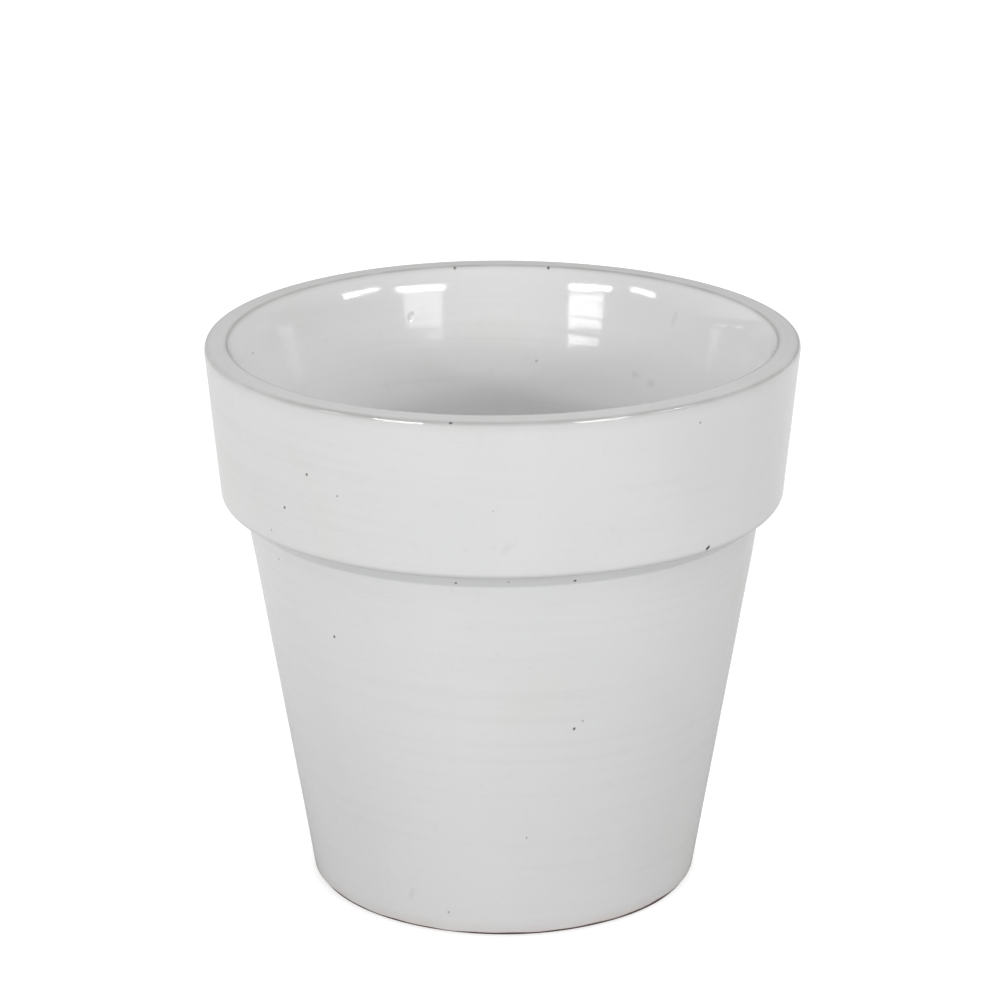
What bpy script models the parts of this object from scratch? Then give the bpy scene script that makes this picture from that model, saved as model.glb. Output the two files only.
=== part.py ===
"""Glazed terracotta flower pot with a heavy collar: the fired clay body and the coat of glaze on it.

Metres, +Z up. The origin is the centre of the foot, and the pot stands on the plane z = 0.
Both pieces are turned round the Z axis from outlines of (radius, height) points.
"""

import collections
import math

import bpy
from mathutils import Matrix, Vector

# Driving dimensions, measured on the outside of the glaze.
HEIGHT = 0.190
RIM_RADIUS = 0.100
LIP_WIDTH = 0.008
COLLAR_HEIGHT = 0.054
COLLAR_LOWER_RADIUS = 0.095
WALL_TOP_RADIUS = 0.088
FOOT_RADIUS = 0.0658
WALL_THICKNESS = 0.0088
FLOOR_THICKNESS = 0.009
HOLE_RADIUS = 0.010

# The lip flares inside: above this depth the inside wall leans out more than the pot does.
FLARE_DEPTH = 0.0057
FLARE_ANGLE = math.radians(22)

# The smear of clay that joins the collar's underside to the wall leans out from the wall.
SMEAR_DEPTH = 0.0052
SMEAR_WIDTH = 0.0023

# The coat of glaze, and the gap that keeps the two meshes apart.
GLAZE_THICKNESS = 0.0004
GLAZE_GAP = 0.0003
GLAZE_LINE = 0.001
GLAZE_HOLE_MARGIN = 0.0015

# Roundings of the corners.
LIP_ROUNDING = 0.0014
MOUTH_ROUNDING = 0.0015
COLLAR_EDGE_ROUNDING = 0.0026
SMEAR_LOWER_ROUNDING = 0.0015
SMEAR_UPPER_ROUNDING = 0.0018
FLARE_ROUNDING = 0.050
INSIDE_BEND_ROUNDING = 0.300
FLOOR_FILLET = 0.007
FOOT_ROUNDING = 0.0008

AROUND = 64
ARC_STEP = math.radians(24)
MERGE_DISTANCE = 0.00001

Corner = collections.namedtuple("Corner", "radius height rounding")


def glazed_outline():
    """Corners of the glazed surface, from the glaze line above the foot, over the lip, to the drain hole."""
    collar_bottom = HEIGHT - COLLAR_HEIGHT
    wall_slope = (WALL_TOP_RADIUS - FOOT_RADIUS) / collar_bottom
    smear_radius = WALL_TOP_RADIUS - wall_slope * SMEAR_DEPTH
    mouth_radius = RIM_RADIUS - LIP_WIDTH
    flare_width = FLARE_DEPTH * math.tan(FLARE_ANGLE)
    return [
        Corner(FOOT_RADIUS + wall_slope * GLAZE_LINE, GLAZE_LINE, 0),
        Corner(smear_radius, collar_bottom - SMEAR_DEPTH, SMEAR_LOWER_ROUNDING),
        Corner(WALL_TOP_RADIUS + SMEAR_WIDTH, collar_bottom, SMEAR_UPPER_ROUNDING),
        Corner(COLLAR_LOWER_RADIUS, collar_bottom, COLLAR_EDGE_ROUNDING),
        Corner(RIM_RADIUS, HEIGHT, LIP_ROUNDING),
        Corner(mouth_radius, HEIGHT, MOUTH_ROUNDING),
        Corner(mouth_radius - flare_width, HEIGHT - FLARE_DEPTH, FLARE_ROUNDING),
        Corner(WALL_TOP_RADIUS - WALL_THICKNESS, collar_bottom, INSIDE_BEND_ROUNDING),
        Corner(
            FOOT_RADIUS + wall_slope * FLOOR_THICKNESS - WALL_THICKNESS,
            FLOOR_THICKNESS,
            FLOOR_FILLET,
        ),
        Corner(HOLE_RADIUS + GLAZE_HOLE_MARGIN, FLOOR_THICKNESS, 0),
    ]


def left_of(start, end):
    """The unit normal on the left of the way from start to end, which is the clay's side of an outline."""
    along = Vector((end.radius - start.radius, end.height - start.height)).normalized()
    return Vector((-along.y, along.x))


def inset(corners, depth):
    """The parallel outline that lies a depth deeper, towards the clay."""
    sides = [left_of(start, end) for start, end in zip(corners, corners[1:])]
    before = [sides[0], *sides]
    after = [*sides, sides[-1]]
    moved = []
    for corner, first, second in zip(corners, before, after):
        shift = (first + second) * depth / (1 + first.dot(second))
        turns_left = first.x * second.y - first.y * second.x > 0
        rounding = corner.rounding + (-depth if turns_left else depth)
        moved.append(
            Corner(
                corner.radius + shift.x,
                corner.height + shift.y,
                max(rounding, 0) if corner.rounding else 0,
            )
        )
    return moved


def arc(before, corner, after):
    """Points that round a corner between its two neighbours."""
    middle = Vector((corner.radius, corner.height))
    back = (Vector((before.radius, before.height)) - middle).normalized()
    ahead = (Vector((after.radius, after.height)) - middle).normalized()
    half_angle = back.angle(ahead) / 2
    centre = middle + (back + ahead).normalized() * corner.rounding / math.sin(half_angle)
    first = middle + back * corner.rounding / math.tan(half_angle) - centre
    sweep = math.copysign(math.pi - 2 * half_angle, ahead.cross(back))
    steps = max(2, round(abs(sweep) / ARC_STEP))
    turns = [Matrix.Rotation(sweep * step / steps, 2) for step in range(steps + 1)]
    return [centre + turn @ first for turn in turns]


def rounded(corners):
    """Points of an open outline, with every corner that has a rounding turned into an arc."""
    points = [Vector((corners[0].radius, corners[0].height))]
    for before, corner, after in zip(corners, corners[1:], corners[2:]):
        if corner.rounding:
            points += arc(before, corner, after)
        else:
            points.append(Vector((corner.radius, corner.height)))
    points.append(Vector((corners[-1].radius, corners[-1].height)))
    return points


def clay_loop():
    """The closed outline of the clay: the glazed surface's inset, then the bare drain hole and underside."""
    skin = inset(glazed_outline(), GLAZE_THICKNESS + GLAZE_GAP)
    slope = (skin[1].radius - skin[0].radius) / (skin[1].height - skin[0].height)
    foot_radius = skin[0].radius - slope * skin[0].height
    floor_top = skin[-1].height
    underside = Corner((foot_radius + HOLE_RADIUS) / 2, 0, 0)
    corners = [
        underside,
        Corner(foot_radius, 0, FOOT_ROUNDING),
        *skin[1:-1],
        Corner(HOLE_RADIUS, floor_top, FOOT_ROUNDING),
        Corner(HOLE_RADIUS, 0, FOOT_ROUNDING),
        underside,
    ]
    return rounded(corners)[:-1]


def glaze_loop():
    """The closed outline of the glaze: its surface, and the face that lies on the clay."""
    outer = glazed_outline()
    return rounded(outer) + rounded(inset(outer, GLAZE_THICKNESS))[::-1]


def material(name, colour, roughness):
    """A plain Principled material."""
    made = bpy.data.materials.new(name)
    made.use_nodes = True
    shader = made.node_tree.nodes["Principled BSDF"]
    shader.inputs["Base Color"].default_value = (*colour, 1)
    shader.inputs["Roughness"].default_value = roughness
    shader.inputs["Metallic"].default_value = 0
    return made


def turned(name, loop, finish, parent):
    """A solid of revolution round Z. The loop goes up the outer side, so it is reversed for the Screw."""
    mesh = bpy.data.meshes.new(name)
    points = [(point.x, 0, point.y) for point in reversed(loop)]
    edges = [(i, (i + 1) % len(points)) for i in range(len(points))]
    mesh.from_pydata(points, edges, [])
    mesh.materials.append(finish)
    solid = bpy.data.objects.new(name, mesh)
    bpy.context.scene.collection.objects.link(solid)
    solid.parent = parent
    screw = solid.modifiers.new("Turn", "SCREW")
    screw.axis = "Z"
    screw.angle = 2 * math.pi
    screw.steps = AROUND
    screw.render_steps = AROUND
    screw.use_merge_vertices = True
    screw.merge_threshold = MERGE_DISTANCE
    screw.use_smooth_shade = True
    return solid


def main():
    for old in list(bpy.data.objects):
        bpy.data.objects.remove(old)
    pot = bpy.data.objects.new("pot", None)
    bpy.context.scene.collection.objects.link(pot)
    clay = material("terracotta", (0.50, 0.24, 0.15), 0.90)
    glaze = material("white_glaze", (0.80, 0.80, 0.79), 0.12)
    turned("clay_body", clay_loop(), clay, pot)
    turned("glaze_coat", glaze_loop(), glaze, pot)


main()
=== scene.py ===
"""White glazed terracotta pot: its looks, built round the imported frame.

The pot is turned, so each piece is a grid of rows round the Z axis. A row comes from an outline of
(radius, height) corners, and functions of height and azimuth add what hand work and firing leave.
Azimuth is 0 at the front, on -Y, and grows towards +X. Lengths are in metres.
"""

import collections
import math

import bmesh
import bpy
import numpy as np
from mathutils import Euler, Matrix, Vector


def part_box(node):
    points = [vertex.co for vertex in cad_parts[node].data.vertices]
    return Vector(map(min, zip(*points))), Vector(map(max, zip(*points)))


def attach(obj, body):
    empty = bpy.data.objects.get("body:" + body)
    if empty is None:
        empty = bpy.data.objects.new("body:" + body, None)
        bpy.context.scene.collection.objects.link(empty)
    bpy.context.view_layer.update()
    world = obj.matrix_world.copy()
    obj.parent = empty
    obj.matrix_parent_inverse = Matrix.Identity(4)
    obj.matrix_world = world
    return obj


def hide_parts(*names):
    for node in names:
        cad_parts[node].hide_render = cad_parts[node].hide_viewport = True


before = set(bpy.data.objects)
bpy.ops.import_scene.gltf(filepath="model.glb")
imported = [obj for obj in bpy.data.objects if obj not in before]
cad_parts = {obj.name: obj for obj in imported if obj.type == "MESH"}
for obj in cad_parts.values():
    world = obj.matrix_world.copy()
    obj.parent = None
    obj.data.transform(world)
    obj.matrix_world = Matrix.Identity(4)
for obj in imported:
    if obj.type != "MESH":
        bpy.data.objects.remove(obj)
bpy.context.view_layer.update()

MM = 0.001
MICROMETRE = 0.000001
GLAZE_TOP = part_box("glaze_coat")[1]
HEIGHT = GLAZE_TOP.z
LIP_LOSS = 0.13 * MM  # what the lip's rounding takes off the widest radius
RIM_RADIUS = GLAZE_TOP.x + LIP_LOSS

# The outside of the glaze, with the CAD part's sizes. Only the lip and the smear are more detailed.
LIP_WIDTH = 8 * MM
COLLAR_BOTTOM = HEIGHT - 54 * MM
COLLAR_LOWER_RADIUS = RIM_RADIUS - 5 * MM
WALL_TOP_RADIUS = RIM_RADIUS - 12 * MM
FOOT_RADIUS = RIM_RADIUS - 34.2 * MM
WALL_THICKNESS = 8.8 * MM
FLOOR_THICKNESS = 9 * MM
HOLE_RADIUS = 10 * MM
HOLE_MARGIN = 1.5 * MM
SMEAR_DEPTH = 4.9 * MM
SMEAR_WIDTH = 2.6 * MM
SMEAR_BOTTOM = COLLAR_BOTTOM - SMEAR_DEPTH
BEAD_ZONE = SMEAR_BOTTOM - 5 * MM  # the rows are closer together above this height
LIP_FALL = 0.28 * MM  # how far the lip slopes down to its outer edge
LIP_BEVEL = 1.9 * MM
LIP_BEVEL_LEAN = math.radians(16.7)
FLARE_DEPTH = 5.7 * MM
FLARE_WIDTH = 2.3 * MM
GLAZE_LINE = 1.2 * MM
GLAZE_THICKNESS = 0.4 * MM
GLAZE_GAP = 0.2 * MM  # keeps the glaze and the clay from touching
FOOT_SLOPE = (WALL_TOP_RADIUS - FOOT_RADIUS) / COLLAR_BOTTOM
COLLAR_SLOPE = (RIM_RADIUS - COLLAR_LOWER_RADIUS) / (HEIGHT - COLLAR_BOTTOM)
LIP_EDGE_HEIGHT = HEIGHT - LIP_FALL
LIP_BEVEL_RADIUS = RIM_RADIUS - COLLAR_SLOPE * (LIP_FALL + LIP_BEVEL)
LIP_EDGE_RADIUS = LIP_BEVEL_RADIUS - LIP_BEVEL * math.tan(LIP_BEVEL_LEAN)
MOUTH_RADIUS = RIM_RADIUS - LIP_WIDTH

# Roundings of the corners.
SMEAR_LOWER_ROUNDING = 1.5 * MM
SMEAR_UPPER_ROUNDING = 1.8 * MM
COLLAR_EDGE_ROUNDING = 2.6 * MM
LIP_BEVEL_ROUNDING = 3.5 * MM
LIP_EDGE_ROUNDING = 1.3 * MM
MOUTH_ROUNDING = 1.5 * MM
FLARE_ROUNDING = 50 * MM
INSIDE_BEND_ROUNDING = 300 * MM
FLOOR_FILLET = 7 * MM
FOOT_ROUNDING = 0.9 * MM
HOLE_ROUNDING = 0.8 * MM

# What hand work leaves: how the rim rises and falls, how oval the pot is, how far the collar sits
# aside and hangs down, and how the lower edge of the glaze runs.
RIM_LIFT = 0.055 * MM
RIM_TILT = 0.45 * MM
RIM_WAVE = 0.275 * MM
RIM_DIAGONAL_WAVE = 0.31 * MM
OVAL = 0.12 * MM
THREE_SIDED = 0.05 * MM
COLLAR_ASIDE = 0.45 * MM
COLLAR_SAG = 0.12 * MM
COLLAR_SAG_RIGHT = 0.58 * MM
GLAZE_LINE_WAVE = 0.14 * MM
GLAZE_LINE_RISE = 0.28 * MM
FRONT_RIGHT = 0.85  # an azimuth, in radians
OUTSIDE_RIDGES = 0.35  # how strong the throwing ridges are outside, where they were smoothed
CLAY_ROUGHNESS = 0.07 * MM

AROUND = 480
CLAY_AROUND = 240
CLAY_SPACING = 6 * MM
ARC_STEP = math.radians(9)
LONGEST_ARC_STEP = 1.2 * MM
SHARP_ANGLE = math.radians(60)

# A corner of an outline, its rounding, and how far apart the rows are on the side after it.
Corner = collections.namedtuple("Corner", "radius height rounding spacing")

# A mark in the glaze: whether it is inside the pot, its azimuth and height, half its length and width,
# its tilt, how far it sinks in, and how much bare clay or dirt shows. Its angles are in degrees.
Mark = collections.namedtuple("Mark", "inside azimuth height length width tilt depth shade")


def pinhole(azimuth, height, size, shade=1.0, inside=False):
    """A burst bubble in the glaze, at an azimuth in degrees and a height and size in millimetres."""
    half = size * MM / 2
    return Mark(inside, azimuth, height * MM, half, half, 0, 0.22 * MM, shade)


MARKS = [
    pinhole(-47, 151, 1.1),
    pinhole(-40, 165, 1.1, 0.8),
    pinhole(-33, 160, 0.8, 0.6),
    pinhole(-52, 141, 0.8, 0.6),
    pinhole(-2, 160, 0.6, 0.4),
    pinhole(-10, 132.5, 1.0, 0.8),
    pinhole(1, 133.5, 0.8, 0.5),
    pinhole(15, 132.6, 1.1, 0.9),
    Mark(False, -9.6, 189.3 * MM, 0.70 * MM, 0.38 * MM, 10, 0.08 * MM, 0.8),
    pinhole(39, 183, 0.9, 0.6),
    Mark(False, 44, 138 * MM, 1.2 * MM, 0.60 * MM, 33, 0.25 * MM, 1.0),
    pinhole(-42, 105, 1.0),
    pinhole(17, 78, 1.1),
    pinhole(19, 80.5, 0.7, 0.7),
    pinhole(6, 38, 0.7, 0.5),
    pinhole(-16, 8, 0.8, 0.7),
    pinhole(-59, 126, 0.9, 0.5),
    pinhole(-169, 189.5, 1.2, 0.7, inside=True),
    pinhole(170, 189.5, 1.2, 0.8, inside=True),
    pinhole(172, 157, 1.0, 0.4, inside=True),
    pinhole(-105, 177, 1.2, 0.4, inside=True),
    Mark(True, 146, 156 * MM, 2.0 * MM, 1.5 * MM, 20, 0.05 * MM, 0.10),
    Mark(True, 141, 154 * MM, 2.0 * MM, 1.6 * MM, -10, 0.05 * MM, 0.10),
    Mark(True, 137, 178 * MM, 1.2 * MM, 3.2 * MM, 15, 0.03 * MM, 0.07),
    Mark(True, -157.8, 174 * MM, 1.2 * MM, 1.8 * MM, 25, 0.07 * MM, 0.08),
    Mark(False, 0.8, 147.5 * MM, 2.6 * MM, 1.2 * MM, 25, 0.10 * MM, 0.06),
    Mark(False, -27, 13 * MM, 2.0 * MM, 1.4 * MM, 30, 0.06 * MM, 0.08),
]
HIDDEN_SEED = 11
HIDDEN_OUTSIDE = 14
HIDDEN_INSIDE = 8
COARSE_MARK = 1.5 * MM  # marks of this half-length or more need no finer mesh


def hidden_pinholes():
    """Pinholes of the same kind on the sides that the marks listed above don't reach."""
    random = np.random.default_rng(HIDDEN_SEED)
    made = []
    for _ in range(HIDDEN_OUTSIDE):
        azimuth, height = random.uniform(75, 285), random.uniform(8, 185)
        made.append(pinhole(azimuth, height, random.uniform(0.6, 1.1), random.uniform(0.4, 1)))
    for _ in range(HIDDEN_INSIDE):
        azimuth, height = random.uniform(-100, 130), random.uniform(40, 180)
        made.append(pinhole(azimuth, height, random.uniform(0.6, 1.0), 0.5, inside=True))
    return made


def wall_radius(height):
    """The outside radius of the wall under the collar."""
    return FOOT_RADIUS + FOOT_SLOPE * height


def glaze_corners():
    """The glazed surface, from just above the foot, over the lip, to the drain hole."""
    smear_radius = WALL_TOP_RADIUS + SMEAR_WIDTH
    inside_top_radius = WALL_TOP_RADIUS - WALL_THICKNESS
    floor_radius = wall_radius(FLOOR_THICKNESS) - WALL_THICKNESS
    return [
        Corner(wall_radius(GLAZE_LINE), GLAZE_LINE, 0, 2.2 * MM),
        Corner(wall_radius(BEAD_ZONE), BEAD_ZONE, 0, 0.5 * MM),
        Corner(wall_radius(SMEAR_BOTTOM), SMEAR_BOTTOM, SMEAR_LOWER_ROUNDING, 0.6 * MM),
        Corner(smear_radius, COLLAR_BOTTOM, SMEAR_UPPER_ROUNDING, 0.8 * MM),
        Corner(COLLAR_LOWER_RADIUS, COLLAR_BOTTOM, COLLAR_EDGE_ROUNDING, 1.6 * MM),
        Corner(LIP_BEVEL_RADIUS, LIP_EDGE_HEIGHT - LIP_BEVEL, LIP_BEVEL_ROUNDING, 0.5 * MM),
        Corner(LIP_EDGE_RADIUS, LIP_EDGE_HEIGHT, LIP_EDGE_ROUNDING, 1.0 * MM),
        Corner(MOUTH_RADIUS, HEIGHT, MOUTH_ROUNDING, 1.0 * MM),
        Corner(MOUTH_RADIUS - FLARE_WIDTH, HEIGHT - FLARE_DEPTH, FLARE_ROUNDING, 1.1 * MM),
        Corner(inside_top_radius, COLLAR_BOTTOM, INSIDE_BEND_ROUNDING, 3.5 * MM),
        Corner(floor_radius, FLOOR_THICKNESS, FLOOR_FILLET, 3.0 * MM),
        Corner(HOLE_RADIUS + HOLE_MARGIN, FLOOR_THICKNESS, 0, 0),
    ]


def unit(vector):
    """A vector's direction."""
    return vector / np.linalg.norm(vector)


def place(corner):
    """Where a corner is, as an array."""
    return np.array([corner.radius, corner.height])


def inset(corners, depth):
    """The parallel outline that lies a depth deeper, on the left of the way along it."""
    points = [place(c) for c in corners]
    ways = [unit(b - a) for a, b in zip(points, points[1:])]
    sides = [np.array([-w[1], w[0]]) for w in ways]
    moved = []
    for corner, first, second in zip(corners, [sides[0], *sides], [*sides, sides[-1]]):
        radius, height = place(corner) + (first + second) * depth / (1 + first @ second)
        turn = first[0] * second[1] - first[1] * second[0]
        rounding = max(corner.rounding - math.copysign(depth, turn), 0) if corner.rounding else 0
        moved.append(Corner(radius, height, rounding, corner.spacing))
    return moved


def arc(before, corner, after):
    """Points that round a corner between its neighbours."""
    middle = place(corner)
    back, ahead = unit(place(before) - middle), unit(place(after) - middle)
    half_angle = math.acos(max(-1, min(1, back @ ahead))) / 2
    centre = middle + unit(back + ahead) * corner.rounding / math.sin(half_angle)
    first = middle + back * corner.rounding / math.tan(half_angle) - centre
    sweep = math.pi - 2 * half_angle
    turn = math.copysign(sweep, ahead[0] * back[1] - ahead[1] * back[0])
    steps = max(3, round(sweep / ARC_STEP), round(sweep * corner.rounding / LONGEST_ARC_STEP))
    angles = [turn * step / steps for step in range(steps + 1)]
    return [
        centre
        + [
            first[0] * math.cos(a) - first[1] * math.sin(a),
            first[0] * math.sin(a) + first[1] * math.cos(a),
        ]
        for a in angles
    ]


def rows(corners, coarser=1):
    """Points along an open outline: arcs at its rounded corners, and evenly spaced rows between them."""
    stretches = [[place(corners[0])]]
    for before, corner, after in zip(corners, corners[1:], corners[2:]):
        stretches.append(arc(before, corner, after) if corner.rounding else [place(corner)])
    stretches.append([place(corners[-1])])
    points = list(stretches[0])
    for corner, stretch in zip(corners, stretches[1:]):
        start, end = points[-1], stretch[0]
        gap = np.linalg.norm(end - start)
        count = max(1, round(gap / (corner.spacing * coarser)))
        points += [start + (end - start) * step / count for step in range(1, count)]
        points += stretch
    return np.array(points)


def smooth(value, low, high):
    """0 below low and 1 above high, with a smooth rise between them."""
    t = np.clip((value - low) / (high - low), 0, 1)
    return t * t * (3 - 2 * t)


def hump(value, middle, reach):
    """1 at the middle, falling smoothly to 0 a few reaches away from it."""
    return np.exp(-(((value - middle) / reach) ** 2))


def collar_sag(height, azimuth):
    """How far the collar's lower edge hangs down, most of all to the right of the front."""
    near_edge = hump(height, COLLAR_BOTTOM + 3 * MM, 7 * MM)
    return near_edge * (COLLAR_SAG + COLLAR_SAG_RIGHT * hump(azimuth, FRONT_RIGHT, 0.32))


def hand_shape(radius, height, azimuth):
    """The turned shape as hand work and firing leave it: a wavy rim, an oval and a collar off centre."""
    share = np.clip(height / HEIGHT, 0, 1) ** 2
    waves = RIM_WAVE * np.cos(2 * azimuth) + RIM_DIAGONAL_WAVE * np.sin(2 * azimuth)
    rise = share * (RIM_LIFT + RIM_TILT * np.sin(azimuth) + waves) - collar_sag(height, azimuth)
    oval = THREE_SIDED * np.sin(3 * azimuth + 1.1) - share * OVAL * np.cos(2 * azimuth + 0.6)
    aside = COLLAR_ASIDE * smooth(height, COLLAR_BOTTOM - 25 * MM, COLLAR_BOTTOM + 5 * MM)
    x = (radius + oval) * np.sin(azimuth) - aside
    y = -(radius + oval) * np.cos(azimuth)
    return x, y, height + rise


# Waves that throwing leaves up the wall: length in millimetres, turns, phase and size in micrometres.
THROWING_WAVES = (
    (9.1, 1, 0.3, 11),
    (5.3, 0, 1.9, 7),
    (3.7, -1, 4.0, 4),
    (2.9, 2, 2.2, 3),
    (14.0, 0, 5.1, 14),
)

# Broad waves round the wall: turns, length in millimetres, phase and size in micrometres.
BROAD_WAVES = (
    (4, 90, 0.4, 34),
    (7, 55, 2.6, 20),
    (11, 38, 1.2, 12),
    (17, 26, 4.4, 7),
    (26, 19, 3.3, 4),
)


def throwing_ridges(height, azimuth):
    """Faint rings and a rising spiral that fingers leave in the clay, in metres along the normal."""
    total = 0
    for length, turns, phase, size in THROWING_WAVES:
        swell = 0.6 + 0.4 * np.sin(3 * azimuth + phase * 2 + height * 40)
        total = total + size * MICROMETRE * swell * np.sin(
            2 * math.pi * height / (length * MM) + turns * azimuth + phase
        )
    return total


def inside_unevenness(azimuth):
    """How much stronger the rings are inside the pot, where fewer strokes have smoothed them."""
    return 1 + 0.5 * np.cos(5 * azimuth - 2.0)


def glaze_bead(height):
    """The low bead of glaze that has run down from under the collar, in metres."""
    return 0.06 * MM * hump(height, SMEAR_BOTTOM - 2.0 * MM, 1.1 * MM)


def undulation(height, azimuth):
    """Broad unevenness of the wall and the glaze, in metres along the surface normal."""
    total = 0
    for turns, length, phase, size in BROAD_WAVES:
        total = total + size * MICROMETRE * np.sin(turns * azimuth + phase) * np.cos(
            2 * math.pi * height / (length * MM) + phase * 1.7
        )
    return total


def mark_reach(mark, radius, height, azimuth, inside):
    """How far into a mark each point is: 1 at its middle and 0 outside it."""
    turn = azimuth - math.radians(mark.azimuth)
    along = radius * ((turn + math.pi) % (2 * math.pi) - math.pi)
    up = height - mark.height
    cosine, sine = math.cos(math.radians(mark.tilt)), math.sin(math.radians(mark.tilt))
    lengthways = (along * cosine + up * sine) / mark.length
    crossways = (up * cosine - along * sine) / mark.width
    reach = np.clip(1 - lengthways**2 - crossways**2, 0, 1)
    return np.where(inside == mark.inside, reach, 0)


def outline_normals(points):
    """Unit normals of an outline, pointing away from the clay, which is on its left."""
    ways = np.gradient(points, axis=0)
    ways /= np.linalg.norm(ways, axis=1)[:, None]
    return np.stack([ways[:, 1], -ways[:, 0]], axis=1)


def grid_faces(row_count, around):
    """Quads between neighbouring rows of a closed grid, as vertex numbers."""
    row, column = np.meshgrid(np.arange(row_count), np.arange(around), indexing="ij")
    next_row, next_column = (row + 1) % row_count, (column + 1) % around
    corners = [
        row * around + column,
        row * around + next_column,
        next_row * around + next_column,
        next_row * around + column,
    ]
    return np.stack(corners, axis=2).reshape(-1, 4)


def turned_mesh(name, outline, relief, around):
    """A closed mesh turned round Z from a loop of (radius, height) points.

    relief has one row of displacements, in metres along the normal, for each point of the outline.
    """
    azimuth = np.arange(around) * 2 * math.pi / around
    normals = outline_normals(outline)
    radius = outline[:, :1] + normals[:, :1] * relief
    height = outline[:, 1:] + normals[:, 1:] * relief
    x, y, z = hand_shape(radius, height, azimuth[None, :])
    points = np.stack([x, y, z], axis=2).reshape(-1, 3)
    mesh = bpy.data.meshes.new(name)
    mesh.from_pydata(points.tolist(), [], grid_faces(len(outline), around).tolist())
    piece = bpy.data.objects.new(name, mesh)
    bpy.context.scene.collection.objects.link(piece)
    return piece


def give_attribute(mesh, name, values):
    """Stores one number for each vertex, which the materials read."""
    attribute = mesh.attributes.get(name) or mesh.attributes.new(name, "FLOAT", "POINT")
    attribute.data.foreach_set("value", np.asarray(values, np.float32).ravel())


def read_attribute(mesh, name):
    """The number that a mesh holds for each vertex."""
    values = np.zeros(len(mesh.vertices), np.float32)
    mesh.attributes[name].data.foreach_get("value", values)
    return values


def read_points(mesh):
    """Vertex positions of a mesh, as an array."""
    flat = np.zeros(len(mesh.vertices) * 3, np.float32)
    mesh.vertices.foreach_get("co", flat)
    return flat.reshape(-1, 3).astype(float)


def near_corner(points, corner, reach):
    """1 on a corner of the outline, falling to 0 a few reaches away from it."""
    return hump(np.linalg.norm(points - np.array(corner), axis=1), 0, reach)


def face_centres(mesh):
    """The middle of each face of a mesh of quads, and its first vertex's number."""
    centres = np.zeros(len(mesh.polygons) * 3, np.float32)
    mesh.polygons.foreach_get("center", centres)
    corners = np.zeros(len(mesh.polygons) * 4, np.int32)
    mesh.polygons.foreach_get("vertices", corners)
    return centres.reshape(-1, 3).astype(float), corners.reshape(-1, 4)[:, 0]


def cylindrical(points):
    """Radius, height and azimuth of points."""
    return (
        np.hypot(points[:, 0], points[:, 1]),
        points[:, 2],
        np.arctan2(points[:, 0], -points[:, 1]),
    )


def refine(piece, marks, inside, shown, cuts=4):
    """Divides the faces round each small mark, so that it can be a real hollow."""
    centres, first = face_centres(piece.data)
    radius, height, azimuth = cylindrical(centres)
    close = np.zeros(len(centres), bool)
    for mark in marks:
        wide = mark._replace(length=mark.length + MM, width=mark.width + MM)
        close |= mark_reach(wide, radius, height, azimuth, inside[first]) > 0
    close &= shown[first]
    body = bmesh.new()
    body.from_mesh(piece.data)
    body.faces.ensure_lookup_table()
    body.edges.index_update()
    edges = {edge for index in np.flatnonzero(close) for edge in body.faces[index].edges}
    edges = sorted(edges, key=lambda edge: edge.index)
    bmesh.ops.subdivide_edges(body, edges=edges, cuts=cuts, use_grid_fill=True)
    body.to_mesh(piece.data)
    body.free()


def sink_marks(piece, marks):
    """Sinks each mark into the surface, and stores how much dark clay or dirt shows in it."""
    mesh = piece.data
    points = read_points(mesh)
    radius, height, azimuth = cylindrical(points)
    inside, shown = (read_attribute(mesh, name) > 0.5 for name in ("inside", "shown"))
    normals = np.zeros(len(points) * 3, np.float32)
    mesh.vertices.foreach_get("normal", normals)
    depth, bare = np.zeros(len(points)), np.zeros(len(points))
    for mark in marks:
        reach = mark_reach(mark, radius, height, azimuth, inside) * shown
        depth = np.maximum(depth, mark.depth * reach * (2 - reach))
        bare = np.maximum(bare, mark.shade * np.minimum(reach * 2, 1))
    points -= normals.reshape(-1, 3) * depth[:, None]
    mesh.vertices.foreach_set("co", points.astype(np.float32).ravel())
    give_attribute(mesh, "bare", bare)
    mesh.update()


def wave_glaze_line(piece):
    """Lets the lower edge of the glaze wave round the foot, higher at the sides and the front right."""
    mesh = piece.data
    points = read_points(mesh)
    radius, height, azimuth = cylindrical(points)
    low = (1 - smooth(height, 1 * MM, 4 * MM)) * (radius > FOOT_RADIUS - WALL_THICKNESS / 2)
    wave = np.sin(5 * azimuth + 0.8) + 0.7 * np.sin(13 * azimuth + 2) + 0.5 * np.sin(29 * azimuth)
    higher = 1 - np.cos(2 * azimuth) + 1.4 * hump(azimuth, FRONT_RIGHT, 0.35)
    rise = low * (GLAZE_LINE_WAVE * wave + GLAZE_LINE_RISE * higher)
    points[:, 2] += rise
    points[:, :2] *= (1 + FOOT_SLOPE * rise / radius)[:, None]
    mesh.vertices.foreach_set("co", points.astype(np.float32).ravel())
    mesh.update()


def finish_piece(piece, material, node):
    """Gives a piece its material, smooth shading and its place in the frame."""
    piece.data.materials.append(material)
    piece.data.shade_smooth()
    piece.data.set_sharp_from_angle(angle=SHARP_ANGLE)
    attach(piece, "root")
    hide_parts(node)


def lip_row(surface):
    """The row at the middle of the lip, where the outside ends and the inside starts."""
    middle = (MOUTH_RADIUS + LIP_WIDTH / 2, HEIGHT)
    return np.argmin(np.linalg.norm(surface - middle, axis=1))


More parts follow.
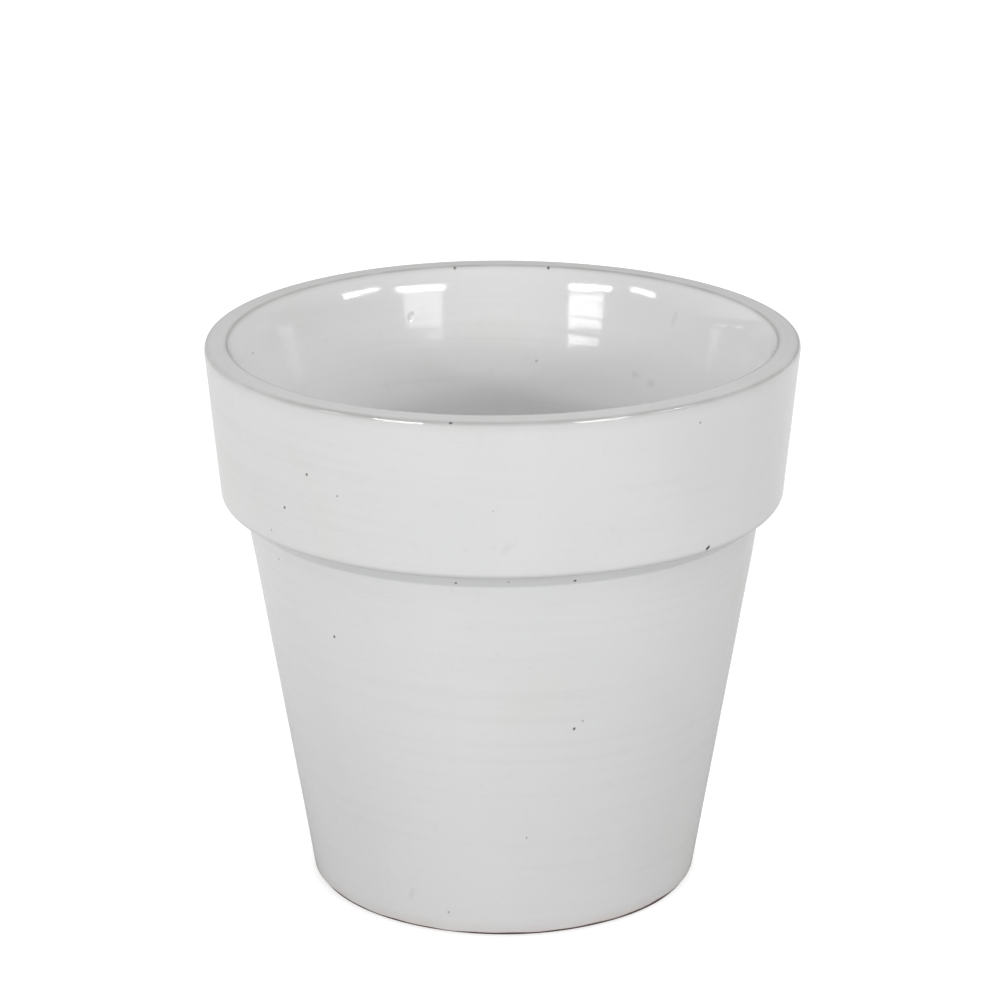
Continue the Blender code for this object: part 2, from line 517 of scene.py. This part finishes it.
def glaze_relief(outline, inside):
    """How far the glaze stands out of its outline at each row and azimuth, in metres."""
    azimuth = np.arange(AROUND) * 2 * math.pi / AROUND
    height = outline[:, 1:]
    outside = (~inside)[:, None]
    ridges = np.where(outside, OUTSIDE_RIDGES, inside_unevenness(azimuth))
    relief = ridges * throwing_ridges(height, azimuth) + undulation(height, azimuth)
    return relief + outside * glaze_bead(height)


def thin_edges_and_lip_shade(outline):
    """How thin the glaze has run over the edges of the lip, the mouth and the collar, row by row, and
    the painted shade on the lip's top.

    Each edge has its place in the outline, how far round it the glaze is thin, and how thin it is.
    The entry in the lip's middle is partly thinner glaze and partly painted shade on the lip's top.
    """
    edges = (
        ((LIP_EDGE_RADIUS + 0.1 * MM, LIP_EDGE_HEIGHT - 0.5 * MM), 0.9 * MM, 0.60),
        ((RIM_RADIUS, LIP_EDGE_HEIGHT - MM), 2.0 * MM, 0.16),
        ((MOUTH_RADIUS, HEIGHT), 0.8 * MM, 1.0),
        # The lip's top: partly thinner glaze, partly painted shade.
        ((MOUTH_RADIUS + LIP_WIDTH / 2, HEIGHT), 3 * MM, 0.18),
        ((COLLAR_LOWER_RADIUS, COLLAR_BOTTOM), 1.4 * MM, 0.32),
    )
    return sum(share * near_corner(outline, corner, reach) for corner, reach, share in edges)


def under_collar(outline, inside):
    """1 on the rows of the smear and the collar's underside, and 0 elsewhere."""
    radius, height = outline[:, 0], outline[:, 1]
    above = smooth(height, SMEAR_BOTTOM - 0.3 * MM, SMEAR_BOTTOM + 0.4 * MM)
    return above * ((height <= COLLAR_BOTTOM) & (radius < COLLAR_LOWER_RADIUS - MM) & ~inside)


def make_glaze():
    """The coat of glaze: an uneven outer surface, closed by a plain one that lies on the clay."""
    corners = glaze_corners()
    surface = rows(corners)
    backing = rows(inset(corners, GLAZE_THICKNESS), coarser=4)[::-1]
    outline = np.concatenate([surface, backing])
    number = np.arange(len(outline))
    inside = number > lip_row(surface)
    shown = number < len(surface)
    relief = glaze_relief(outline, inside)
    relief[~shown] = 0
    piece = turned_mesh("glaze_surface", outline, relief, AROUND)
    stored_values = {
        "inside": inside,
        "shown": shown,
        "thin": thin_edges_and_lip_shade(outline),
        # Under the collar: partly pooled glaze, partly painted shade.
        "crease": under_collar(outline, inside),
        "foot": np.where(inside, 0, 1 - smooth(outline[:, 1], 0, 6 * MM)),
    }
    for name, values in stored_values.items():
        give_attribute(piece.data, name, np.repeat(values.astype(float), AROUND))
    marks = MARKS + hidden_pinholes()
    fine = [mark for mark in marks if mark.length < COARSE_MARK]
    refine(piece, fine, np.repeat(inside, AROUND), np.repeat(shown, AROUND))
    sink_marks(piece, marks)
    wave_glaze_line(piece)
    finish_piece(piece, glaze_material(), "glaze_coat")


def make_clay():
    """The fired clay, which shows at the foot, on the underside and in the drain hole."""
    skin = inset(glaze_corners(), GLAZE_THICKNESS + GLAZE_GAP)
    foot_radius = skin[0].radius - FOOT_SLOPE * skin[0].height
    middle = Corner((foot_radius + HOLE_RADIUS) / 2, 0, 0, 3 * MM)
    corners = [
        middle,
        Corner(foot_radius, 0, FOOT_ROUNDING, CLAY_SPACING),
        *[corner._replace(spacing=CLAY_SPACING) for corner in skin[1:-1]],
        Corner(HOLE_RADIUS, skin[-1].height, HOLE_ROUNDING, 1.5 * MM),
        Corner(HOLE_RADIUS, 0, HOLE_ROUNDING, 3 * MM),
        middle,
    ]
    outline = rows(corners)[:-1]
    azimuth = np.arange(CLAY_AROUND) * 2 * math.pi / CLAY_AROUND
    underside = (1 - smooth(outline[:, 1:], 0.2 * MM, 6 * MM)) * np.ones(CLAY_AROUND)
    swirl = np.sin(7 * azimuth + 700 * outline[:, :1]) * np.sin(1900 * outline[:, :1] + azimuth)
    relief = -CLAY_ROUGHNESS * underside * (1 + swirl)
    piece = turned_mesh("fired_clay", outline, relief, CLAY_AROUND)
    finish_piece(piece, clay_material(), "clay_body")


# Materials


def connect(tree, socket, value):
    """Sets an input socket to a value, or links it to another node's output."""
    if isinstance(value, bpy.types.NodeSocket):
        tree.links.new(value, socket)
    elif isinstance(value, tuple) and len(value) < len(socket.default_value):
        socket.default_value = (*value, 1)
    else:
        socket.default_value = value


def add(tree, kind, inputs, **settings):
    """A new node with its settings and its inputs, by name or by number."""
    made = tree.nodes.new(kind)
    for name, value in settings.items():
        setattr(made, name, value)
    for name, value in inputs.items():
        connect(tree, made.inputs[name], value)
    return made


def noise(tree, waves, detail=3, tilt=(0, 0, 0), roughness=0.5):
    """Noise from 0 to 1, with its number of waves in a metre along each axis of the piece."""
    where = add(tree, "ShaderNodeTexCoord", {}).outputs["Object"]
    lengths = tuple(1 / count for count in waves)
    turned = add(
        tree,
        "ShaderNodeMapping",
        {"Vector": where, "Rotation": tilt, "Scale": lengths},
        vector_type="TEXTURE",
    ).outputs["Vector"]
    inputs = {"Vector": turned, "Scale": 1, "Detail": detail, "Roughness": roughness}
    return add(tree, "ShaderNodeTexNoise", inputs).outputs["Fac"]


def ramp(tree, value, low, high, to_low=0, to_high=1):
    """A value carried smoothly from one range to another, and held inside it."""
    inputs = {"Value": value, "From Min": low, "From Max": high, "To Min": to_low, "To Max": to_high}
    made = add(tree, "ShaderNodeMapRange", inputs, interpolation_type="SMOOTHSTEP")
    return made.outputs["Result"]


def arithmetic(tree, operation, first, second):
    """The result of one step of arithmetic on two values."""
    return add(tree, "ShaderNodeMath", {0: first, 1: second}, operation=operation).outputs["Value"]


def dot_product(tree, vector, direction):
    """How far a vector reaches in a direction."""
    inputs = {0: vector, 1: direction}
    return add(tree, "ShaderNodeVectorMath", inputs, operation="DOT_PRODUCT").outputs["Value"]


def mix(tree, share, first, second):
    """Two colours mixed by a share."""
    inputs = {0: share, 6: first, 7: second}
    return add(tree, "ShaderNodeMix", inputs, data_type="RGBA").outputs[2]


def stored(tree, name):
    """A number that the mesh holds for each vertex."""
    return add(tree, "ShaderNodeAttribute", {}, attribute_name=name).outputs["Fac"]


def bump(tree, height, depth, below=None):
    """A normal from a height between 0 and 1 and a depth in metres, on top of another bump."""
    inputs = {"Height": height, "Distance": depth}
    if below:
        inputs["Normal"] = below
    return add(tree, "ShaderNodeBump", inputs).outputs["Normal"]


def new_material(name):
    """A material with a Principled shader: the material, its node tree and the shader."""
    made = bpy.data.materials.new(name)
    made.use_nodes = True
    return made, made.node_tree, made.node_tree.nodes["Principled BSDF"]


GLAZE_WHITE = (0.790, 0.790, 0.792)
GLAZE_COOL = (0.771, 0.774, 0.784)
GLAZE_WARM = (0.765, 0.756, 0.740)
# Grey of thin glaze over clay; at the foot and inside it also stands for painted shade.
THIN_GLAZE_AND_SHADE = (0.46, 0.45, 0.44)
# Grey of glaze thin on the edges, also used as painted shade on the lip's top.
EDGE_GLAZE_AND_SHADE = (0.37, 0.362, 0.352)
# Greyer glaze under the collar: partly pooled glaze, partly painted shade.
CREASE_GLAZE_AND_SHADE = (0.715, 0.718, 0.722)
FOOT_GLAZE = (0.63, 0.57, 0.54)
DARK_CLAY = (0.055, 0.040, 0.034)
GLAZE_IOR = 1.52

# Between which heights the glaze inside turns greyer: deep down as painted shade, and next to
# the mouth partly as thinner glaze, partly as painted shade.
DEEP_ZONE = (HEIGHT - 85 * MM, HEIGHT - 48 * MM)
MOUTH_ZONE = (HEIGHT - 24 * MM, HEIGHT - 3 * MM)


def height_up(tree):
    """The height of a point on a piece, in metres."""
    where = add(tree, "ShaderNodeTexCoord", {}).outputs["Object"]
    return add(tree, "ShaderNodeSeparateXYZ", {"Vector": where}).outputs["Z"]


def glaze_ground(tree, warm):
    """The glaze's broad colour: cool and warm patches, and grey that is thin glaze and painted shade.

    Outside it greys towards the foot, partly as thinner glaze and partly as painted shade; inside it
    greys next to the mouth in the same two ways, and deep down below the collar as painted shade.
    """
    inside = stored(tree, "inside")
    outside = ramp(tree, inside, 0, 1, 1, 0.3)
    patches = noise(tree, (16, 16, 13), 3)
    cool = arithmetic(tree, "MULTIPLY", outside, ramp(tree, patches, 0.42, 0.62))
    colour = mix(tree, cool, GLAZE_WHITE, GLAZE_COOL)
    colour = mix(tree, ramp(tree, warm, 0.52, 0.78, 0, 0.8), colour, GLAZE_WARM)
    height = height_up(tree)
    # Greyer towards the foot: partly thinner glaze, partly painted shade.
    low = arithmetic(tree, "MULTIPLY", outside, ramp(tree, height, 0, COLLAR_BOTTOM, 0.23, 0.08))
    colour = mix(tree, low, colour, THIN_GLAZE_AND_SHADE)
    # Inside: greyer deep down as painted shade, and next to the mouth partly as thinner glaze, partly as
    # painted shade.
    deep = ramp(tree, height, *DEEP_ZONE, 0.19, 0)
    high = ramp(tree, height, *MOUTH_ZONE, 0, 0.11)
    thin_glaze_and_shade_inside = arithmetic(tree, "MULTIPLY", arithmetic(tree, "ADD", deep, high), inside)
    return mix(tree, thin_glaze_and_shade_inside, colour, THIN_GLAZE_AND_SHADE)


def glaze_streaks(tree, colour, wiped, warm, mottle):
    """The colour with wide and fine wiping streaks and small mottles laid over it."""
    fine_wiped = noise(tree, (18, 18, 1300), 3, (-0.02, 0.03, 0), 0.55)
    streaky = ramp(tree, warm, 0.4, 0.6, 0.35, 1)
    streaks = arithmetic(tree, "MULTIPLY", streaky, ramp(tree, wiped, 0.44, 0.72, 0, 0.07))
    colour = mix(tree, streaks, colour, THIN_GLAZE_AND_SHADE)
    colour = mix(tree, ramp(tree, fine_wiped, 0.5, 0.8, 0, 0.04), colour, THIN_GLAZE_AND_SHADE)
    return mix(tree, ramp(tree, mottle, 0.55, 0.85, 0, 0.10), colour, THIN_GLAZE_AND_SHADE)


def glaze_edges(tree, colour, bare):
    """The colour with what the mesh stores: thin edges with painted shade on the lip's top, pooled glaze
    with painted shade in the crease, the glaze line and bare marks.
    """
    along = noise(tree, (70, 70, 70), 3)
    # Thin glaze on the edges, and painted shade on the lip's top.
    edge = arithmetic(tree, "MULTIPLY", stored(tree, "thin"), ramp(tree, along, 0.3, 0.6, 0.8, 1))
    colour = mix(tree, edge, colour, EDGE_GLAZE_AND_SHADE)
    # The crease under the collar: partly pooled glaze, partly painted shade.
    colour = mix(tree, stored(tree, "crease"), colour, CREASE_GLAZE_AND_SHADE)
    foot = arithmetic(tree, "MULTIPLY", stored(tree, "foot"), ramp(tree, along, 0.35, 0.65, 0.3, 0.8))
    colour = mix(tree, foot, colour, FOOT_GLAZE)
    return mix(tree, bare, colour, DARK_CLAY)


def glaze_material():
    """Glossy white glaze: wiping streaks, cool and warm patches, thin edges, dark pinholes, and painted
    shade at the foot, on the lip's top, under the collar and inside.
    """
    made, tree, shader = new_material("white_glaze_fired")
    wiped = noise(tree, (6, 6, 420), 5, (0.035, 0.025, 0), 0.62)
    warm = noise(tree, (21, 21, 17), 4)
    mottle = noise(tree, (330, 330, 330), 4)
    bare = stored(tree, "bare")
    colour = glaze_ground(tree, warm)
    colour = glaze_streaks(tree, colour, wiped, warm, mottle)
    colour = glaze_edges(tree, colour, bare)
    shine = ramp(tree, mottle, 0.3, 0.8, 0.055, 0.11)
    shine = arithmetic(tree, "MAXIMUM", shine, arithmetic(tree, "MULTIPLY", bare, 0.7))
    skin = bump(tree, noise(tree, (190, 190, 190), 2), 0.012 * MM)
    connect(tree, shader.inputs["Base Color"], colour)
    connect(tree, shader.inputs["Roughness"], shine)
    connect(tree, shader.inputs["Normal"], bump(tree, wiped, 0.020 * MM, skin))
    shader.inputs["IOR"].default_value = GLAZE_IOR
    return made


CLAY_LIGHT = (0.50, 0.25, 0.16)
CLAY_DARK = (0.30, 0.135, 0.085)
CLAY_DUST = (0.56, 0.40, 0.31)
# Painted contact shadow on the clay next to the ground.
CLAY_PAINTED_SHADOW = (0.10, 0.078, 0.072)

# Between which heights the clay's painted contact shadow fades out upwards, and fades in from the
# underside.
PAINTED_SHADOW_TOP = (2.5 * MM, 4.5 * MM)
PAINTED_SHADOW_BOTTOM = (0.05 * MM, 0.3 * MM)


def clay_material():
    """Matt red clay: cloudy colour, sand grains, dust, painted contact shadow next to the ground and a
    rough skin.
    """
    made, tree, shader = new_material("bare_terracotta")
    clouds = noise(tree, (45, 45, 45), 4)
    dust = noise(tree, (120, 120, 120), 6, roughness=0.7)
    grains = noise(tree, (700, 700, 700), 2)
    rough = noise(tree, (1400, 1400, 1400), 4)
    colour = mix(tree, ramp(tree, clouds, 0.3, 0.7), CLAY_DARK, CLAY_LIGHT)
    colour = mix(tree, ramp(tree, dust, 0.52, 0.75, 0, 0.7), colour, CLAY_DUST)
    colour = mix(tree, ramp(tree, grains, 0.62, 0.72, 0, 0.7), colour, CLAY_DARK)
    height = height_up(tree)
    # A dark band of painted contact shadow on the foot, just above the ground.
    painted_foot_shadow = ramp(tree, height, *PAINTED_SHADOW_TOP, 0.92, 0)
    painted_foot_shadow = arithmetic(tree, "MULTIPLY", painted_foot_shadow, ramp(tree, height, *PAINTED_SHADOW_BOTTOM))
    colour = mix(tree, painted_foot_shadow, colour, CLAY_PAINTED_SHADOW)
    connect(tree, shader.inputs["Base Color"], colour)
    connect(tree, shader.inputs["Roughness"], ramp(tree, dust, 0.3, 0.7, 0.82, 0.96))
    connect(tree, shader.inputs["Normal"], bump(tree, rough, 0.15 * MM, bump(tree, grains, 0.1 * MM)))
    return made


# Stage, light and camera

FLOOR_SIZE = 30
FLOOR_GLOW = 0.03
FLOOR_GLOW_BEHIND = 0.32  # what it rises to behind the pot
FLOOR_GLOW_SEEN = 0.66  # what the camera sees of it
FLOOR_WHITE = ((0.54, 0.54, 0.54), (0.56, 0.56, 0.56))
BACKWARDS = (-0.35, 0.94, 0)  # the way in which the floor's glow rises
GLOW_START = -0.05  # how far that way it starts to rise, and where it is highest
GLOW_END = 0.35
CAMERA_BACK = 1.253
CAMERA_HEIGHT = 0.5445
CAMERA_PITCH = math.radians(18.228)
CAMERA_LENS = 139.7  # millimetres
CAMERA_SHIFT = -0.0038
LAMP_DISTANCE = 3.0

# The glows of the light tent: azimuth and elevation in degrees, and strength.
TENT_GLOWS = (
    (0, 40, 0.73),
    (0, 8, 0.67),
    (-120, 8, 1.38),
    (120, 40, 1.15),
    (180, 40, 0.40),
)
TENT_FOCUS = 4  # the power that narrows each glow
TENT_LEAST = 0.04

# The lamps: name, azimuth, elevation, width and height in degrees, radiance, and roll in degrees.
LAMPS = (
    ("window_left", -38, 9.0, 15.5, 5.5, 8.2, 0),
    ("window_right", 36, 9.6, 16.8, 6.8, 4.1, 0),
    ("fanlight_left", -40, 15.5, 19, 3.2, 28, 0),
    ("fanlight_right", 37, 15.4, 21, 3.4, 19, 0),
    ("side_light_left", -65.7, 14.5, 12, 3.0, 15, 14),
    ("side_light_right", 65.4, 14.5, 18, 3.0, 13, -14),
)


def make_floor():
    """A pale floor that runs far past the view."""
    mesh = bpy.data.meshes.new("floor")
    half = FLOOR_SIZE / 2
    corners = [(-half, -half, 0), (half, -half, 0), (half, half, 0), (-half, half, 0)]
    mesh.from_pydata(corners, [], [(0, 1, 2, 3)])
    floor = bpy.data.objects.new("floor", mesh)
    bpy.context.scene.collection.objects.link(floor)
    made, tree, shader = new_material("pale_floor")
    cloud = noise(tree, (3, 3, 3), 2)
    connect(tree, shader.inputs["Base Color"], mix(tree, cloud, *FLOOR_WHITE))
    shader.inputs["Roughness"].default_value = 0.8
    shader.inputs["Emission Color"].default_value = (1, 1, 1, 1)
    where = add(tree, "ShaderNodeTexCoord", {}).outputs["Object"]
    behind = dot_product(tree, where, BACKWARDS)
    glow = ramp(tree, behind, GLOW_START, GLOW_END, FLOOR_GLOW, FLOOR_GLOW_BEHIND)
    seen = arithmetic(tree, "MULTIPLY", seen_directly(tree), FLOOR_GLOW_SEEN)
    connect(tree, shader.inputs["Emission Strength"], arithmetic(tree, "MAXIMUM", glow, seen))
    mesh.materials.append(made)


def seen_directly(tree):
    """1 where the camera looks straight at the stage, which looks whiter than the light it sends out."""
    return add(tree, "ShaderNodeLightPath", {}).outputs["Is Camera Ray"]


def towards(azimuth, elevation):
    """A unit vector in a direction given in degrees."""
    turn, lift = math.radians(azimuth), math.radians(elevation)
    level = math.cos(lift)
    return (level * math.sin(turn), -level * math.cos(turn), math.sin(lift))


def make_world():
    """A light tent, as a sum of broad glows that are each brightest in one direction."""
    world = bpy.data.worlds.new("light_tent")
    bpy.context.scene.world = world
    world.use_nodes = True
    tree = world.node_tree
    way = add(tree, "ShaderNodeTexCoord", {}).outputs["Generated"]
    total = TENT_LEAST
    for azimuth, elevation, strength in TENT_GLOWS:
        facing = dot_product(tree, way, towards(azimuth, elevation))
        glow = arithmetic(tree, "POWER", arithmetic(tree, "MAXIMUM", facing, 0), TENT_FOCUS)
        total = arithmetic(tree, "ADD", total, arithmetic(tree, "MULTIPLY", glow, strength))
    shade = tree.nodes["Background"]
    shade.inputs["Color"].default_value = (1, 1, 1, 1)
    connect(tree, shade.inputs["Strength"], arithmetic(tree, "MAXIMUM", total, seen_directly(tree)))


def make_lamp(name, azimuth, elevation, width, height, radiance, roll):
    """A soft rectangular lamp that faces the pot's rim, with its place, sides and roll in degrees."""
    turn, lift = math.radians(azimuth), math.radians(elevation)
    wide = 2 * LAMP_DISTANCE * math.tan(math.radians(width) / 2)
    tall = 2 * LAMP_DISTANCE * math.tan(math.radians(height) / 2)
    lamp = bpy.data.lights.new(name, "AREA")
    lamp.shape = "RECTANGLE"
    lamp.size = wide
    lamp.size_y = tall
    lamp.energy = radiance * math.pi * wide * tall
    stand = bpy.data.objects.new(name, lamp)
    bpy.context.scene.collection.objects.link(stand)
    stand.location = (
        LAMP_DISTANCE * math.cos(lift) * math.sin(turn),
        -LAMP_DISTANCE * math.cos(lift) * math.cos(turn),
        HEIGHT + LAMP_DISTANCE * math.sin(lift),
    )
    facing = Euler((math.pi / 2 - lift, 0, turn)).to_matrix()
    stand.rotation_euler = (facing @ Matrix.Rotation(math.radians(roll), 3, "Z")).to_euler()
    stand.visible_camera = False


def make_camera():
    """A camera with a long lens, above the rim and in front of the pot."""
    lens = bpy.data.cameras.new("camera")
    lens.lens = CAMERA_LENS
    lens.shift_x = CAMERA_SHIFT
    lens.clip_start = 0.05
    camera = bpy.data.objects.new("camera", lens)
    bpy.context.scene.collection.objects.link(camera)
    camera.location = (0, -CAMERA_BACK, CAMERA_HEIGHT)
    camera.rotation_euler = (math.pi / 2 - CAMERA_PITCH, 0, 0)
    bpy.context.scene.camera = camera


make_camera()
make_floor()
make_world()
for lamp in LAMPS:
    make_lamp(*lamp)
bpy.context.scene.view_settings.view_transform = "Standard"
make_clay()
make_glaze()
